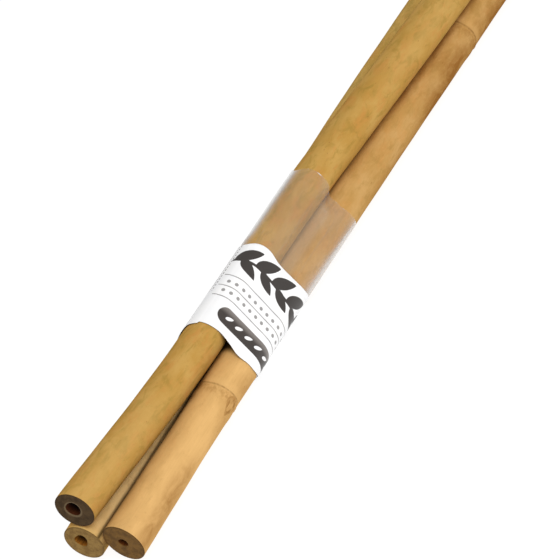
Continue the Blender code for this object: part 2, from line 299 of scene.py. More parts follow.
def cane_points(cane, line):
    """Rings of points from the bottom of the near hollow, out over the cut, along the wall and back in.

    A point is the cane's middle there, plus its reach times the cosine and the sine of its turn. Near a sawn
    end it also moves along the cane, by the cut's slopes times its distances across and upwards. Gives the
    points, their place in a straightened cane, their reach from its middle, their turn, and the kind of each
    ring's surface."""
    turn = np.linspace(0, 2 * np.pi, SIDES, endpoint=False)[None, :] - np.pi / 2
    depth = np.linspace(1, 0, 12, endpoint=False)[:, None]
    rough = hollow_reach(cane, turn) * (1 + 0.05 * np.sin(4 * turn + 9 * depth) * depth)
    near_depth = cane.nodes[0] - DIAPHRAGM - cane.near
    far_depth = cane.far - cane.nodes[-1] - DIAPHRAGM
    near_hollow = cane.near + PITH_RIM + near_depth * depth**2 + 0 * turn
    far_hollow = cane.far - PITH_RIM - far_depth * depth[::-1] ** 2 + 0 * turn
    walls = wall_stations(cane)[:, None] + 0 * turn
    far_cut = cut_rings(cane, cane.far, -1, turn)
    sections = (
        (near_hollow, rough, 1 + 0 * depth, "hollow"),
        (*cut_rings(cane, cane.near, 1, turn), "cut"),
        (walls, radius(cane, walls) + relief(cane, walls, turn), 0 * walls[:, :1], "wall"),
        (*(part[::-1] for part in far_cut), "cut"),
        (far_hollow, rough[::-1], 1 + 0 * depth, "hollow"),
    )
    x = np.concatenate([part[0] for part in sections])
    reach = np.concatenate([part[1] for part in sections])
    inside = np.concatenate([part[2] for part in sections])
    kinds = np.concatenate([[part[3]] * len(part[0]) for part in sections])
    y = reach * np.cos(turn) + inside * cane.pith_shift[0]
    z = reach * np.sin(turn) + inside * cane.pith_shift[1]
    along = x + 0
    for end, cut in ((cane.near, cane.near_cut), (cane.far, cane.far_cut)):
        share = np.clip(1 - np.abs(x - end) / CUT_REACH, 0, 1)
        along = along + share * (cut[0] * y + cut[1] * z)
    centre_y, centre_z = line(x)
    points = np.stack([along, centre_y + y, centre_z + z], -1)
    straight = np.stack([along, y, z], -1)
    return points, straight, reach + 0 * turn, turn + 0 * x, kinds


def ring_faces(rows, sides):
    """Four-sided faces between rows of points whose rings close on themselves."""
    i, j = np.meshgrid(np.arange(rows - 1), np.arange(sides), indexing="ij")
    k = (j + 1) % sides
    corners = (i * sides + j, i * sides + k, (i + 1) * sides + k, (i + 1) * sides + j)
    return np.stack(corners, -1).reshape(-1, 4)


def new_piece(name, points, faces, materials, attributes, kinds=None):
    """A smooth-shaded mesh object from arrays, riding on the one body."""
    mesh = bpy.data.meshes.new(name)
    mesh.from_pydata(points.tolist(), [], faces)
    for attribute, values in attributes:
        data = mesh.attributes.new(attribute, "FLOAT_VECTOR", "POINT").data
        data.foreach_set("vector", np.ascontiguousarray(values, dtype=np.float32).ravel())
    for material in materials:
        mesh.materials.append(material)
    if kinds is not None:
        mesh.polygons.foreach_set("material_index", kinds)
    mesh.shade_smooth()
    mesh.validate()
    piece = bpy.data.objects.new(name, mesh)
    bpy.context.collection.objects.link(piece)
    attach(piece, "root")
    return piece


def streak_amount(x, turn, streak):
    """One lengthwise streak: a hump in the turn times a smooth start and end along the cane."""
    middle, width, start, end, amount = streak
    fade = min(25.0, (end - start) / 2)
    box = ramp(x, start, start + fade) * (1 - ramp(x, end - fade, end))
    return amount * hump(turn_from(turn, np.radians(middle)), np.radians(width)) * box


def painted_crease_shade(cane, x, turn, cracks):
    """Painted shade: 1 where a cane faces the closed spaces between the canes under the label, and in its
    cracks.
    """
    middle, half = cane.pressed
    inner = ramp(np.abs(turn_from(turn, middle)), half, half + 0.3)
    start, end = SLEEVE_START / MM, LABEL_END / MM
    painted_shade = inner * ramp(x, start + 0.2, start + 1.2) * (1 - ramp(x, end - 8, end))
    return np.minimum(painted_shade + sum(streak_amount(x, turn, crack) for crack in cracks), 1)


def cane_patterns(cane, straight, reach, turn, streaks):
    """What the cane's materials read: its straightened place, the nearest node and painted shade, the streaks
    and the cut.
    """
    above, away = node_places(cane, straight[..., 0], turn)
    wall = radius(cane, straight[..., 0])
    x = straight[..., 0] / MM
    mark = np.stack([above / MM, away * wall / MM, painted_crease_shade(cane, x, turn, streaks["dark"])], -1)
    kinds = ("brown", "olive", "pale")
    tint = np.stack([sum(streak_amount(x, turn, streak) for streak in streaks[kind]) for kind in kinds], -1)
    depth = np.minimum(straight[..., 0] - cane.near, cane.far - straight[..., 0])
    cut = np.stack([reach - hollow_reach(cane, turn), wall - reach, depth], -1) / MM
    return (("grain", straight / MM), ("mark", mark), ("tint", tint), ("cut", cut))


def make_cane(name, cane, line, streaks, materials):
    """One cane: rings of points joined by four-sided faces, and a fan of triangles closing each hollow."""
    points, straight, reach, turn, kinds = cane_points(cane, line)
    points = points + origin
    rows, sides = turn.shape
    place = {"wall": 0, "hollow": 1, "cut": 2}
    numbers = np.array([place[kind] for kind in kinds])
    face_kinds = np.repeat(np.minimum(numbers[:-1], numbers[1:]), sides)
    hub = rows * sides
    j = np.arange(sides)
    k = (j + 1) % sides
    first = np.stack([0 * j + hub, k, j], -1)
    last = np.stack([0 * j + hub + 1, hub - sides + j, hub - sides + k], -1)
    hubs = np.stack([points[0].mean(0), points[-1].mean(0)])
    attributes = [
        (attribute, np.concatenate([values.reshape(-1, 3), np.zeros((2, 3))]))
        for attribute, values in cane_patterns(cane, straight, reach, turn, streaks)
    ]
    return new_piece(
        name,
        np.concatenate([points.reshape(-1, 3), hubs]),
        ring_faces(rows, sides).tolist() + first.tolist() + last.tolist(),
        materials,
        attributes,
        np.concatenate([face_kinds, np.full(2 * sides, 1)]).astype(np.int32),
    )


def dip_between(near_radius, far_radius, length, t):
    """Depth of a skin that sinks between two canes, t along the straight run that touches both.

    It is the soft least of the depth of one cane's wall, of the other's, and of the deepest that it sinks."""
    near_wall = near_radius - np.sqrt(np.maximum(near_radius**2 - t**2, 0))
    far_wall = far_radius - np.sqrt(np.maximum(far_radius**2 - (length - t) ** 2, 0))
    sunk = sum(np.exp(-depth / DIP_BLEND) for depth in (near_wall, far_wall, DEEPEST + 0 * t))
    return np.maximum(-DIP_BLEND * np.log(sunk) - DIP_CLEAR, 0)


def belt(x, arc_points, run_points):
    """Outline of a belt drawn tight round the canes at each x: an arc round each cane, and straight runs.

    It starts under the back cane and goes over the top cane to the front cane. A straight run touches two
    canes: it faces the way from middle to middle, less the angle whose cosine is the difference of the radii
    over the middles' distance. Gives the outline's points, the turn it faces, the distance round it, in
    millimetres, from the line that faces the camera, and how far a skin can sink there."""
    canes = ((BACK, back_line), (TOP, top_line), (FRONT, front_line))
    centres = [np.stack(line(x), -1) for _, line in canes]
    radii = [radius(cane, x) for cane, _ in canes]
    facings = []
    for i in range(3):
        to_next = centres[(i + 1) % 3] - centres[i]
        lean = np.arccos((radii[i] - radii[(i + 1) % 3]) / np.hypot(to_next[:, 0], to_next[:, 1]))
        facings.append(np.arctan2(to_next[:, 1], to_next[:, 0]) - lean)
    outline, faced, dips = [], [], []
    share = np.linspace(0, 1, run_points + 2)[1:-1][None, :]
    for i in range(3):
        start, end = facings[i - 1], facings[i]
        end = end + 2 * np.pi * np.ceil((start - end) / (2 * np.pi))
        turn = start[:, None] + (end - start)[:, None] * np.linspace(0, 1, arc_points)
        spokes = np.stack([np.cos(turn), np.sin(turn)], -1)
        outline.append(centres[i][:, None] + radii[i][:, None, None] * spokes)
        faced.append(turn)
        dips.append(0 * turn)
        a = outline[-1][:, -1:]
        b = (centres[(i + 1) % 3] + radii[(i + 1) % 3][:, None] * spokes[:, -1])[:, None]
        length = np.linalg.norm(b - a, axis=-1)
        outline.append(a + (b - a) * share[..., None])
        faced.append(np.repeat(end[:, None], run_points, 1))
        dips.append(dip_between(radii[i][:, None], radii[(i + 1) % 3][:, None], length, length * share))
    outline, dips = np.concatenate(outline, 1), np.concatenate(dips, 1)
    faced = np.unwrap(np.concatenate(faced, 1), axis=1)
    steps = np.linalg.norm(np.diff(outline, axis=1), axis=-1)
    around = np.concatenate([np.zeros((len(x), 1)), np.cumsum(steps, 1)], 1) / MM
    top_arc = slice(arc_points + run_points, 2 * arc_points + run_points)
    for row in range(len(x)):
        around[row] -= np.interp(NEAR_SIDE, np.mod(faced[row, top_arc], 2 * np.pi), around[row, top_arc])
    return outline, faced, around, dips


def sleeve_piece(name, stations, counts, look, material, patterns):
    """A thin closed sleeve: the belt's outline at each station, moved out for its inner and its outer skin.

    look.edges moves the points along the canes, look.out says how far the inner skin stands off, and
    look.wall how thick the sleeve is. The patterns give the attributes that its material reads."""
    outline, faced, around, dips = belt(stations, *counts)
    share = ((stations - stations[0]) / (stations[-1] - stations[0]))[:, None]
    x = stations[:, None] + look.edges(share, around) * MM
    spot = SimpleNamespace(x=x / MM, share=share, faced=faced, around=around, dips=dips)
    inner = look.out(spot)
    spokes = np.stack([np.cos(faced), np.sin(faced)], -1)
    rings, values = [], []
    for out, order, outer in ((inner, 1, 0.0), (inner + look.wall(spot), -1, 1.0)):
        spot.out = out
        spot.outer = outer
        rings.append(np.concatenate([x[..., None], outline + out[..., None] * spokes], -1)[::order])
        values.append([pattern(spot)[::order] for _, pattern in patterns])
    points = np.concatenate(rings)
    rows, sides = points.shape[:2]
    i, j = np.meshgrid(np.arange(rows), np.arange(sides), indexing="ij")
    k, up = (j + 1) % sides, (i + 1) % rows
    faces = np.stack([i * sides + j, up * sides + j, up * sides + k, i * sides + k], -1).reshape(-1, 4)
    attributes = [
        (attribute, np.concatenate([skin[p] for skin in values]).reshape(-1, 3))
        for p, (attribute, _) in enumerate(patterns)
    ]
    return new_piece(name, (points + origin).reshape(-1, 3), faces.tolist(), [material], attributes)


def edge_wave(edge, around):
    """How far up the canes an edge lies, in mm: the smooth curve through its values round the sleeve."""
    return smooth(around, edge.at, edge.up)


def film_edges(share, around):
    """Only the film's far edge waves: the wave fades to nothing halfway along it."""
    return ramp(share, 0.5, 1.0) * edge_wave(FILM_EDGE, around)


def film_out(spot):
    """The film lies close on the canes, ripples a little, and dips between them towards its far edge."""
    x = spot.x * MM
    late = ramp(x, 0.150, SLEEVE_END)
    out = FILM_OUT + 0.0002 * late * hump(turn_from(spot.faced, LEFT_SIDE), 0.45)
    ripple = 1 + np.sin(spot.around / 2.1 + 60 * x)
    out += 0.00006 * late * ripple * hump(turn_from(spot.faced, NEAR_SIDE), 1.4)
    out += 0.00005 * np.sin(spot.around / 1.3 + 25 * x) ** 2
    return out - ramp(spot.share, 0.86, 0.99) * spot.dips


def film_wall(spot):
    """The film is as thick everywhere."""
    return FILM + 0 * spot.x


def film_pattern(spot):
    """Distance from the film's far edge, distance round it, and how far it stands off the canes."""
    from_edge = (1 - spot.share) * (SLEEVE_END - SLEEVE_START) / MM + 0 * spot.around
    return np.stack([from_edge, spot.around, (spot.dips + spot.out) / MM], -1)


def label_edges(share, around):
    """Each edge's wave fades to nothing at the middle of the label. The near edge also steps at the lap."""
    step = LABEL_STEP * ramp(around, LAP_END, LAP_END + 0.3) * (1 - ramp(around, 38, 50))
    near = (1 - ramp(share, 0.0, 0.5)) * (edge_wave(LABEL_NEAR_EDGE, around) + step)
    return near + ramp(share, 0.5, 1.0) * edge_wave(LABEL_FAR_EDGE, around)


def label_out(spot):
    """The label lies on the film. Its near edge stands off a little, most where it turns to the left side."""
    early = 1 - ramp(spot.share, 0.0, 0.35)
    out = LABEL_OUT + early * (0.00010 + 0.00006 * hump(turn_from(spot.faced, np.radians(60)), 0.55))
    return out + 0.00004 * np.sin(spot.around / 3.7 + 40 * spot.x * MM) ** 2


def label_wall(spot):
    """The label's thickness, more than half as much again where its ends overlap."""
    lap = ramp(spot.around, LAP_START, LAP_START + 0.4) * (1 - ramp(spot.around, LAP_END, LAP_END + 0.4))
    return LABEL * (1 + 0.6 * lap)


def pill(x, around, low, high, start, end):
    """Distance to a bar with round ends, negative inside: to its middle line, less half its width."""
    half = (high - low) / 2
    nearest = np.clip(around, start + half, end - half)
    return np.hypot(x - (low + high) / 2, around - nearest) - half


def leaf(x, around, base, angle, length, width):
    """Distance, roughly, to a leaf: how far a point is beyond its half width, which swells and tapers."""
    angle = np.radians(angle)
    a = ((around - base[1]) * np.cos(angle) + (x - base[0]) * np.sin(angle)) / length
    b = -(around - base[1]) * np.sin(angle) + (x - base[0]) * np.cos(angle)
    inside = np.clip(a, 0, 1)
    half = width / 2 * 2.6 * inside**0.6 * (1 - inside) ** 0.9
    beyond = np.maximum(np.maximum(-a, a - 1), 0) * length
    return np.hypot(np.maximum(np.abs(b) - half, 0), beyond) + np.minimum(np.abs(b) - half, 0)


def sprig(x, around):
    """A sprig lying along the label: a wavy stem and pairs of leaves, spaced evenly."""
    def stem_at(place):
        return SPRIG.line + SPRIG.sway * np.sin((place + 8) / 9.0)

    beyond = np.maximum(SPRIG.start - around, around - SPRIG.end)
    ink = np.maximum(np.abs(x - stem_at(around)) - SPRIG.half_stem, beyond)
    for foot in np.arange(*SPRIG.feet):
        ink = np.minimum(ink, leaf(x, around, (stem_at(foot), foot), 40, 12.4, 5.4))
        ink = np.minimum(ink, leaf(x, around, (stem_at(foot + 3.2), foot + 3.2), -32, 10.0, 4.6))
    return ink


def print_place(spot):
    """Place along the canes of the print, which lies a little slanted on the label."""
    return spot.x - PRINT_SHIFT + PRINT_SLANT * spot.around


def label_print(spot):
    """Signed distances to the dark shapes, to the band and to the grey dots, in millimetres."""
    x, around = print_place(spot), spot.around
    band = pill(x, around, BAND.low, BAND.high, BAND.start, BAND.end)
    for foot in np.arange(*BAND.leaves):
        band = np.maximum(band, -leaf(x, around, (BAND.leaf_line, foot), 30, 4.2, 1.6))
    step = np.mod(around - DOTS.start, DOTS.step) - DOTS.step / 2
    dots = np.min([np.hypot(step, x - line) for line in DOTS.lines], 0) - DOTS.radius
    dots = np.where((around > DOTS.start) & (around < DOTS.end), dots, NO_INK)
    steps = [np.mod(place, SIDE_DOTS.step) - SIDE_DOTS.step / 2 for place in (x, around)]
    at_side = (around > SIDE_DOTS.start) & (around < SIDE_DOTS.end)
    at_side = at_side & (x > SIDE_DOTS.low) & (x < SIDE_DOTS.high)
    dots = np.where(at_side, np.hypot(*steps) - SIDE_DOTS.radius, dots)
    return np.stack([np.minimum(ink, NO_INK) for ink in (sprig(x, around), band, dots)], -1)


def label_ground(spot):
    """Distance from the nearest thin rule, whether the point is on the outer skin, and the print's place."""
    x = print_place(spot)
    rule = np.min([np.abs(x - line) for line in RULES.lines], 0)
    rule = np.where((spot.around > RULES.start) & (spot.around < RULES.end), rule, NO_INK)
    return np.stack([rule, spot.outer + 0 * rule, x], -1)


def colour(red, green, blue):
    """A colour given as on a screen, 0 to 255, turned to linear light."""
    c = np.array([red, green, blue]) / 255
    linear = np.where(c <= 0.04045, c / 12.92, ((c + 0.055) / 1.055) ** 2.4)
    return (*linear.tolist(), 1.0)


class Shading:
    """Short calls for building one material's nodes."""

    def __init__(self, name):
        self.material = bpy.data.materials.new(name)
        self.material.use_nodes = True
        self.tree = self.material.node_tree
        self.shader = self.tree.nodes["Principled BSDF"]

    def node(self, kind, inputs=(), **settings):
        made = self.tree.nodes.new(kind)
        for key, value in settings.items():
            setattr(made, key, value)
        for key, value in dict(inputs).items():
            self.put(made.inputs[key], value)
        return made

    def put(self, socket, value):
        if isinstance(value, bpy.types.NodeSocket):
            self.tree.links.new(value, socket)
        else:
            socket.default_value = value

    def attribute(self, name):
        return self.node("ShaderNodeAttribute", attribute_name=name).outputs["Vector"]

    def split(self, vector):
        return self.node("ShaderNodeSeparateXYZ", {0: vector}).outputs

    def stretch(self, vector, scale, shift=(0, 0, 0)):
        values = {"Vector": vector, "Scale": scale, "Location": shift}
        return self.node("ShaderNodeMapping", values).outputs[0]

    def noise(self, vector, detail=3.0, roughness=0.5, distortion=0.0):
        values = {
            "Vector": vector, "Scale": 1.0, "Detail": detail, "Roughness": roughness,
            "Distortion": distortion,
        }
        return self.node("ShaderNodeTexNoise", values).outputs["Fac"]

    def math(self, operation, a, b=0.0, clamp=False):
        return self.node("ShaderNodeMath", {0: a, 1: b}, operation=operation, use_clamp=clamp).outputs[0]

    def band(self, value, low, high, to_low=0.0, to_high=1.0):
        """Maps low to high onto to_low to to_high, smoothly and held at both ends."""
        values = {"Value": value, "From Min": low, "From Max": high, "To Min": to_low, "To Max": to_high}
        return self.node("ShaderNodeMapRange", values, interpolation_type="SMOOTHSTEP").outputs[0]

    def mix(self, share, a, b):
        return self.node("ShaderNodeMix", {0: share, 6: a, 7: b}, data_type="RGBA").outputs[2]

    def bump(self, height, strength, distance):
        values = {"Height": height, "Strength": strength, "Distance": distance}
        return self.node("ShaderNodeBump", values).outputs[0]

    def finish(self, **values):
        for key, value in values.items():
            self.put(self.shader.inputs[key.replace("_", " ")], value)
        return self.material


def bamboo_wall(name, tones):
    """Dry bamboo skin: blotches of several sizes, faint fibre lines, small specks, streaks and node marks, and
    painted shade.
    """
    s = Shading(name)
    grain, mark, tint = s.attribute("grain"), s.attribute("mark"), s.attribute("tint")
    soft = s.noise(s.stretch(grain, (0.05, 0.12, 0.12)), 3.0, 0.5, 0.3)
    blotch = s.noise(s.stretch(grain, (0.13, 0.26, 0.26), (7, 3, 1)), 4.0, 0.6, 0.6)
    warm = s.noise(s.stretch(grain, (0.09, 0.20, 0.20), (1, 8, 5)), 4.0, 0.6, 0.5)
    fibre = s.noise(s.stretch(grain, (0.030, 2.6, 2.6)), 3.0, 0.6)
    hair = s.noise(s.stretch(grain, (0.10, 7.0, 7.0), (2, 2, 2)), 2.0, 0.5)
    cloud = s.noise(s.stretch(grain, (0.5, 0.8, 0.8), (3, 9, 4)), 5.0, 0.65)
    brown_tint_and_shade, olive_tint, pale_tint_and_light = s.split(tint)[:3]
    above, across, painted_shade = s.split(mark)[:3]

    def tinted(amount, cover):
        return s.math("MULTIPLY", amount, s.band(cover, 0.30, 0.70, 0.5, 1.3), clamp=True)

    shade = s.mix(s.band(soft, 0.35, 0.65), tones.light, tones.deep)
    shade = s.mix(s.band(warm, 0.48, 0.68, 0.0, tones.mottle), shade, tones.amber)
    shade = s.mix(s.band(blotch, 0.47, 0.68, 0.0, tones.mottle), shade, tones.olive)
    # The pale tint is partly painted light and the brown one partly painted shade, as the streaks are.
    shade = s.mix(tinted(pale_tint_and_light, soft), shade, tones.pale)
    shade = s.mix(tinted(olive_tint, blotch), shade, tones.olive)
    shade = s.mix(tinted(brown_tint_and_shade, warm), shade, tones.brown)
    shade = s.mix(s.band(fibre, 0.35, 0.70, 0.0, 0.07), shade, tones.brown)
    shade = s.mix(s.band(cloud, 0.50, 0.75, 0.0, 0.16), shade, tones.pale)
    shade = s.mix(s.band(cloud, 0.46, 0.28, 0.0, 0.14), shade, tones.brown)

    cells = s.node("ShaderNodeTexVoronoi", {"Vector": s.stretch(grain, (0.20, 0.42, 0.42)), "Scale": 1.0})
    chance = s.split(cells.outputs["Color"])[0]
    rare = s.band(chance, 1 - tones.specks, 1.05 - tones.specks)
    speck = s.math("MULTIPLY", s.band(cells.outputs["Distance"], 0.11, 0.05), rare)
    shade = s.mix(s.math("MULTIPLY", speck, 0.5), shade, tones.brown)

    shade = node_marks(s, shade, tones, grain, above, across, cloud)
    # Painted shade, deep brown, under the label and in the cracks between the canes.
    shade = s.mix(s.math("MULTIPLY", painted_shade, 0.88), shade, colour(48, 34, 12))
    lines = s.math("ADD", s.math("MULTIPLY", fibre, 0.6), s.math("MULTIPLY", hair, 0.4))
    return s.finish(
        Base_Color=shade, Roughness=0.6, Specular_IOR_Level=0.0, Normal=s.bump(lines, 0.2, 0.00010),
    )


def node_marks(s, shade, tones, grain, above, across, cloud):
    """A broken line at the node, pale bloom under it, dusky wood over it, and the bud scar's strokes."""
    ragged = s.math("ADD", above, s.math("MULTIPLY", s.math("SUBTRACT", cloud, 0.5), 0.6))
    line = s.band(s.math("ABSOLUTE", ragged), 0.65, 0.08)
    bloom = s.math("MULTIPLY", s.band(ragged, -0.3, -1.0), s.band(ragged, -5.0, -2.0))
    dusk = s.math("MULTIPLY", s.band(ragged, 0.2, 0.9), s.band(ragged, 6.5, 2.5))
    shade = s.mix(s.math("MULTIPLY", bloom, 0.25), shade, tones.pale)
    shade = s.mix(s.math("MULTIPLY", dusk, s.band(cloud, 0.40, 0.62, tones.dusk, 0.05)), shade, tones.brown)
    worn = s.band(cloud, 0.35, 0.60, 0.35 * tones.line, tones.line)
    shade = s.mix(s.math("MULTIPLY", line, worn), shade, colour(122, 84, 42))
    rise = s.math("DIVIDE", s.math("SUBTRACT", above, 5.0), 4.4)
    wide = s.math("DIVIDE", across, s.band(above, 10.5, 1.0, 1.1, 3.2))
    scar = s.math("SQRT", s.math("ADD", s.math("MULTIPLY", rise, rise), s.math("MULTIPLY", wide, wide)))
    ring = s.band(s.math("ABSOLUTE", s.math("SUBTRACT", scar, 1.0)), 0.22, 0.04)
    strokes = s.band(s.noise(s.stretch(grain, (0.12, 0.85, 0.85), (4, 4, 4)), 2.0), 0.50, 0.64)
    inner = s.math("MULTIPLY", s.band(scar, 1.0, 0.75), strokes)
    shade = s.mix(s.math("MULTIPLY", ring, s.band(cloud, 0.35, 0.60, 0.15, 0.55)), shade, tones.brown)
    return s.mix(s.math("MULTIPLY", inner, 0.7), shade, colour(138, 92, 40))


def end_grain(name, tones):
    """Sawn bamboo: a paler ring by the hollow, dark fibre ends that crowd towards the skin, and saw lines."""
    s = Shading(name)
    grain = s.attribute("grain")
    from_hollow, from_skin = s.split(s.attribute("cut"))[:2]
    cells = s.node("ShaderNodeTexVoronoi", {"Vector": s.stretch(grain, (0.05, 1.5, 1.5)), "Scale": 1.0})
    cloud = s.noise(s.stretch(grain, (0.2, 0.35, 0.35)), 4.0, 0.6)
    crowd = s.band(from_skin, 4.5, 0.8, 0.10, 0.30)
    dots = s.math("MULTIPLY", s.band(cells.outputs["Distance"], 0.42, 0.22), crowd)
    shade = s.mix(s.band(cloud, 0.35, 0.65), tones.cut_light, tones.cut_deep)
    shade = s.mix(dots, shade, colour(52, 34, 18))
    shade = s.mix(s.band(from_skin, 0.9, 0.1, 0.0, 0.35), shade, colour(60, 40, 20))
    shade = s.mix(s.band(from_hollow, 1.0, 0.3, 0.0, tones.ring_share), shade, tones.ring)
    saw = s.noise(s.stretch(grain, (0.1, 0.25, 3.2)), 2.0, 0.5)
    height = s.math("ADD", s.math("MULTIPLY", saw, 0.7), s.math("MULTIPLY", dots, -0.8))
    return s.finish(
        Base_Color=shade, Roughness=0.85, Specular_IOR_Level=0.2, Normal=s.bump(height, 0.5, 0.0002),
    )


def hollow_wall(name, tones):
    """The inside of an end hollow: dry and streaked lengthwise, and darker farther in, as painted shade."""
    s = Shading(name)
    depth = s.split(s.attribute("cut"))[2]
    fibre = s.noise(s.stretch(s.attribute("grain"), (0.06, 1.8, 1.8)), 3.0, 0.6)
    shade = s.mix(s.band(fibre, 0.35, 0.65, 0.0, 0.5), tones.mouth, colour(40, 24, 12))
    # Painted shade: darker farther into the hollow.
    shade = s.mix(s.band(depth, 1.0, 5.0), shade, colour(26, 16, 9))
    return s.finish(
        Base_Color=shade, Roughness=0.9, Specular_IOR_Level=0.15, Normal=s.bump(fibre, 0.5, 0.0002),
    )


def painted_sheen_strip(s, around, middle, width):
    """A soft strip along the film, at its middle's distance round it, used for painted sheen."""
    off = s.math("DIVIDE", s.math("SUBTRACT", around, middle), width)
    return s.math("EXPONENT", s.math("MULTIPLY", s.math("MULTIPLY", off, off), -1.0))


def clear_film():
    """Clear film gone slightly hazy, more so where it stands off the canes and at creases, with painted sheen
    at its sides and where it is seen edge-on, and painted glints on creases and along its far edge.
    """
    s = Shading("clear_film")
    place = s.node("ShaderNodeTexCoord").outputs["Object"]
    from_edge, around, stand_off = s.split(s.attribute("sheet"))[:3]
    veil = s.noise(s.stretch(place, (18, 120, 120)), 4.0, 0.6, 0.4)
    crease = s.noise(s.stretch(place, (40, 600, 600), (1, 2, 3)), 3.0, 0.5)
    haze = s.math("MULTIPLY", s.band(veil, 0.35, 0.65, 0.06, 0.12), s.band(around, -9.0, 5.0, 0.55, 1.1))
    bridge = s.band(stand_off, 0.25, 4.0, 0.0, 0.14)
    fold = s.band(s.math("ABSOLUTE", s.math("SUBTRACT", stand_off, 0.42)), 0.25, 0.0, 0.0, 0.04)
    # Painted sheen: the film whitens and turns opaque where it is seen edge-on.
    facing = s.node("ShaderNodeLayerWeight", {"Blend": 0.35}).outputs["Facing"]
    painted_graze_sheen = s.math("MULTIPLY", s.math("POWER", facing, 4.0), 0.40)
    # Painted reflections: soft white strips down the film's right and left sides.
    right = s.math("MULTIPLY", painted_sheen_strip(s, around, 28.0, 2.8), s.band(veil, 0.30, 0.60, 0.14, 0.46))
    left = s.math("MULTIPLY", painted_sheen_strip(s, around, -11.3, 2.7), s.band(from_edge, 42.0, 36.0, 0.4, 0.92))
    # Painted highlights: a glint at the far edge over the top cane, a bright broken line along that edge, and
    # glints on creases.
    painted_spark = s.math("MULTIPLY", painted_sheen_strip(s, around, 1.4, 0.9), 0.6)
    rim = s.math("ADD", s.band(crease, 0.58, 0.70, 0.0, 0.4), painted_spark)
    lip = s.math("MULTIPLY", s.band(from_edge, 0.50, 0.15), rim)
    glint = s.band(crease, 0.72, 0.80, 0.0, 0.12)
    tint = s.math("ADD", s.math("ADD", haze, bridge), fold)
    # All the painted sheen, reflections and highlights, laid on as near-white.
    white = s.math("ADD", s.math("ADD", painted_graze_sheen, s.math("ADD", left, right)), s.math("ADD", lip, glint))
    cover = s.math("ADD", tint, white, clamp=True)
    share = s.math("DIVIDE", white, s.math("MAXIMUM", cover, 0.01), clamp=True)
    haze_shade = s.mix(s.band(stand_off, 0.25, 2.0), colour(204, 184, 165), colour(218, 193, 160))
    shade = s.mix(share, haze_shade, colour(253, 251, 248))
    relief_of_creases = s.bump(crease, 0.2, 0.0002)
    return s.finish(
        Base_Color=shade, Roughness=0.22, Specular_IOR_Level=0.4, Alpha=cover, Normal=relief_of_creases,
    )


def label_paper():
    """White label, printed dark: a sprig, a band with its leaves left white, rows of dots and thin rules. Its
    inner skin is painted shade.
    """
    s = Shading("label_paper")
    dark, band, dots = s.split(s.attribute("print"))[:3]
    rule, outer, x = s.split(s.attribute("ground"))[:3]
    place = s.node("ShaderNodeTexCoord").outputs["Object"]
    patch = s.noise(s.stretch(place, (120, 120, 120)), 3.0)
    shade = s.mix(s.band(patch, 0.3, 0.7), colour(249, 249, 250), colour(253, 252, 251))
    ink = s.mix(s.band(x, 104.6, 107.6), colour(66, 60, 56), colour(128, 121, 116))
    shade = s.mix(s.band(dark, 0.09, -0.09), shade, colour(62, 57, 54))
    shade = s.mix(s.band(band, 0.09, -0.09), shade, ink)
    shade = s.mix(s.band(dots, 0.10, -0.10, 0.0, 0.75), shade, colour(100, 95, 92))
    shade = s.mix(s.band(rule, 0.34, 0.14, 0.0, 0.8), shade, colour(112, 108, 106))
    # Painted shade: the inner skin, seen in the gaps under the label, is dark brown.
    shade = s.mix(s.band(outer, 0.45, 0.05), shade, colour(74, 58, 36))
    return s.finish(
        Base_Color=shade, Roughness=0.38, Specular_IOR_Level=0.4, Normal=s.bump(patch, 0.05, 0.0002),
    )


def make_floor():
    """A wide pale floor that shines of its own, so that only a faint shadow shows on it."""
    mesh = bpy.data.meshes.new("floor")
    corners = [(-1, -1), (1, -1), (1, 1), (-1, 1)]
    points = [(x * FLOOR_SIZE, y * FLOOR_SIZE, -FLOOR_DROP) for x, y in corners]
    mesh.from_pydata(points, [], [(0, 1, 2, 3)])
    s = Shading("pale_floor")
    s.finish(Base_Color=(0.14, 0.14, 0.14, 1), Roughness=1.0, Specular_IOR_Level=0.0)
    s.finish(Emission_Color=(1, 1, 1, 1), Emission_Strength=FLOOR_GLOW)
    mesh.materials.append(s.material)
    floor = bpy.data.objects.new("floor", mesh)
    bpy.context.collection.objects.link(floor)


def make_light():
    """Even white light all round, and a wide soft lamp above the side that faces the camera."""
    world = bpy.data.worlds.new("studio")
    world.use_nodes = True
    background = world.node_tree.nodes["Background"]
    background.inputs["Color"].default_value = (1, 1, 1, 1)
    background.inputs["Strength"].default_value = SKY_LIGHT
    bpy.context.scene.world = world
    lamp = bpy.data.lights.new("soft_lamp", "AREA")
    lamp.shape = "RECTANGLE"
    lamp.size = LAMP_SIZE
    lamp.size_y = LAMP_SIZE
    lamp.energy = LAMP_POWER
    lamp_object = bpy.data.objects.new("soft_lamp", lamp)
    lamp_object.location = LAMP_PLACE
    lamp_object.rotation_mode = "QUATERNION"
    way = Vector(LAMP_AIM) - Vector(LAMP_PLACE)
    lamp_object.rotation_quaternion = way.to_track_quat("-Z", "Y")
    bpy.context.collection.objects.link(lamp_object)


